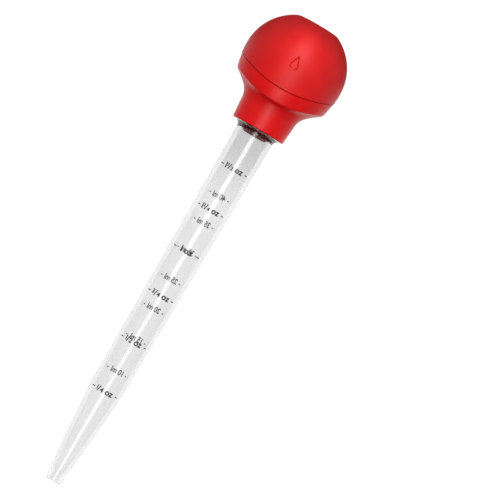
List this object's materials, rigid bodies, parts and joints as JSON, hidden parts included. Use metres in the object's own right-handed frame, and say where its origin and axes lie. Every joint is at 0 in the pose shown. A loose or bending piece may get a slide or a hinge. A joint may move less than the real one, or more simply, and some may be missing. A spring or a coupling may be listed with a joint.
{
  "type": "bulb baster",
  "caption": "Kitchen baster: soft squeeze bulb with a flat top, arched grip base and a clear graduated tube with a notched tip.",
  "frame": {"origin": "centre of the flat top of the squeeze bulb, which is the face it stands on", "axes": "+Z along the tube's axis towards the tip; the front, with the droplet and the ounce scale, faces -Y; +X across the belt's finger side"},
  "size_m": [0.0654, 0.0653, 0.321],
  "materials": {
    "dome_silicone": "satin",
    "base_plastic": "satin",
    "seal_silicone": "satin",
    "clear_plastic": "gloss",
    "scale_ink": "matte"
  },
  "bodies": {
    "base": {"bulb_base": "base_plastic"},
    "dome": {"bulb_dome": "dome_silicone"},
    "seal": {"stem_seal": "seal_silicone"},
    "tube": {"tube": "clear_plastic", "oz_scale": "scale_ink", "ml_scale": "scale_ink"}
  },
  "joints": [
    {"name": "bulb_squeeze", "type": "slide", "parent": "base", "child": "dome", "axis": [0, 0, 1], "range_m": [0, 0.022], "stiffness_N_per_m": 700, "springref_m": -0.003, "deforming": ["bulb_dome"]},
    {"name": "tube_twist", "type": "hinge", "parent": "base", "child": "seal", "pos_m": [0, 0, 0.06], "axis": [0, 0, 1], "continuous": true},
    {"name": "tube_pull", "type": "slide", "parent": "seal", "child": "tube", "axis": [0, 0, 1], "range_m": [0, 0.025]}
  ]
}
